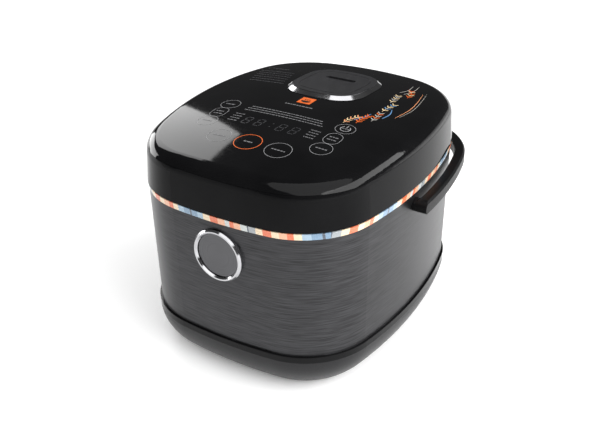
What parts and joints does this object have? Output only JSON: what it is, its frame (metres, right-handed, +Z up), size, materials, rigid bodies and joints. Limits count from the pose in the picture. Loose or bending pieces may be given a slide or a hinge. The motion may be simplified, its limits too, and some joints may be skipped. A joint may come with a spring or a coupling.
{
  "type": "rice cooker",
  "caption": "Boxy rice cooker with a brushed steel body, hinged gloss lid with steam vent, round lid-release button and fold-back carrying handle.",
  "frame": {"origin": "middle of the whole object's footprint, handle folded back, on the surface it stands on", "axes": "+X to the right seen from the front, +Y towards the lid hinge at the back, +Z up"},
  "size_m": [0.3098, 0.3591, 0.2561],
  "materials": {
    "base_plastic": "fine moulded satin",
    "strip_plastic": "gloss black",
    "brushed_steel": "horizontal brushing",
    "band_print": "printed patchwork strip under clear coat",
    "frame_plastic": "satin black",
    "well_sheet": "plain rolled sheet",
    "pot_coating": "dark non-stick coating",
    "cast_plate": "turned casting",
    "heater_sheath": "oxidised tube",
    "sensor_cap": "turned",
    "spring_steel": "drawn wire",
    "foil": "foil heater",
    "fuse_ceramic": "white ceramic",
    "bracket_plastic": "natural moulding",
    "pcb": "green laminate",
    "transformer_core": "laminated core with tape",
    "heat_sink_metal": "extruded",
    "relay_plastic": "blue case",
    "capacitor_can": "sleeved can",
    "terminal_plastic": "white nylon",
    "lead_jacket": "silicone-jacketed wire",
    "inlet_plastic": "black moulding",
    "blade_brass": "plated",
    "chrome": "bright plated",
    "spun_disc": "circular spun finish",
    "lever_plastic": "acetal",
    "pin_steel": "ground",
    "lid_gloss": "piano black",
    "panel_gloss": "piano black with printed keys",
    "liner_plastic": "satin",
    "plate_aluminium": "anodised",
    "gasket_rubber": "translucent silicone",
    "display_lens": "smoked window",
    "vent_metal": "dark brushed",
    "handle_plastic": "satin black",
    "foot_rubber": "matt"
  },
  "bodies": {
    "root": {"base_shell": "base_plastic", "feet": "foot_rubber", "base_strip": "strip_plastic", "case_screws": "pin_steel", "steel_shell": "brushed_steel", "decor_band": "band_print", "upper_frame": "frame_plastic", "pot_well": "well_sheet", "inner_pot": "pot_coating", "heating_plate": "cast_plate", "heater_element": "heater_sheath", "sensor_spring": "spring_steel", "side_heater": "foil", "thermal_fuse": "fuse_ceramic", "board_bracket": "bracket_plastic", "power_board": "pcb", "transformer": "transformer_core", "heat_sink": "heat_sink_metal", "relay": "relay_plastic", "capacitors": "capacitor_can", "terminal_block": "terminal_plastic", "mains_leads": "lead_jacket", "power_inlet": "inlet_plastic", "inlet_blades": "blade_brass", "button_bezel": "chrome", "button_housing": "frame_plastic", "button_spring": "spring_steel", "latch_pin": "pin_steel", "hinge_bracket": "frame_plastic", "hinge_pin": "pin_steel", "hinge_spring": "spring_steel", "handle_bosses": "handle_plastic", "handle_pins": "pin_steel"},
    "lid": {"latch_striker": "pin_steel", "lid_side_ring": "lid_gloss", "lid_top_panel": "panel_gloss", "lid_liner": "liner_plastic", "inner_lid_plate": "plate_aluminium", "lid_gasket": "gasket_rubber", "plate_knob": "gasket_rubber", "lid_sensor": "sensor_cap", "lid_board": "pcb", "display_module": "display_lens", "touch_springs": "spring_steel"},
    "steam_vent": {"vent_skirt": "chrome", "vent_cap": "vent_metal", "vent_cup": "liner_plastic", "vent_seal": "gasket_rubber"},
    "handle": {"handle": "handle_plastic"},
    "release_button": {"button_disc": "spun_disc", "button_plunger": "lever_plastic"},
    "latch": {"latch_lever": "lever_plastic"},
    "sensor": {"bottom_sensor": "sensor_cap"}
  },
  "joints": [
    {"name": "lid_hinge", "type": "hinge", "parent": "root", "child": "lid", "pos_m": [0, 0.15738, 0.198], "axis": [-1, 0, 0], "range_deg": [0, 85], "deforming": ["hinge_spring"]},
    {"name": "vent_lift", "type": "slide", "parent": "lid", "child": "steam_vent", "axis": [0, 0, 1], "range_m": [0, 0.02]},
    {"name": "handle_fold", "type": "hinge", "parent": "root", "child": "handle", "pos_m": [0, -0.02312, 0.173], "axis": [1, 0, 0], "range_deg": [0, 90]},
    {"name": "button_press", "type": "slide", "parent": "root", "child": "release_button", "axis": [0, 1, 0], "range_m": [0, 0.0035], "stiffness_N_per_m": 700, "springref_m": -0.002, "deforming": ["button_spring"]},
    {"name": "latch_pivot", "type": "hinge", "parent": "root", "child": "latch", "pos_m": [0, -0.15712, 0.168], "axis": [1, 0, 0], "range_deg": [0, 12]},
    {"name": "sensor_slide", "type": "slide", "parent": "root", "child": "sensor", "axis": [0, 0, 1], "range_m": [-0.002, 0], "stiffness_N_per_m": 500, "springref_m": 0.003, "deforming": ["sensor_spring"]}
  ],
  "couplings": [
    {"joint": "latch_pivot", "follows": "button_press", "rad_per_m": 57.143}
  ]
}
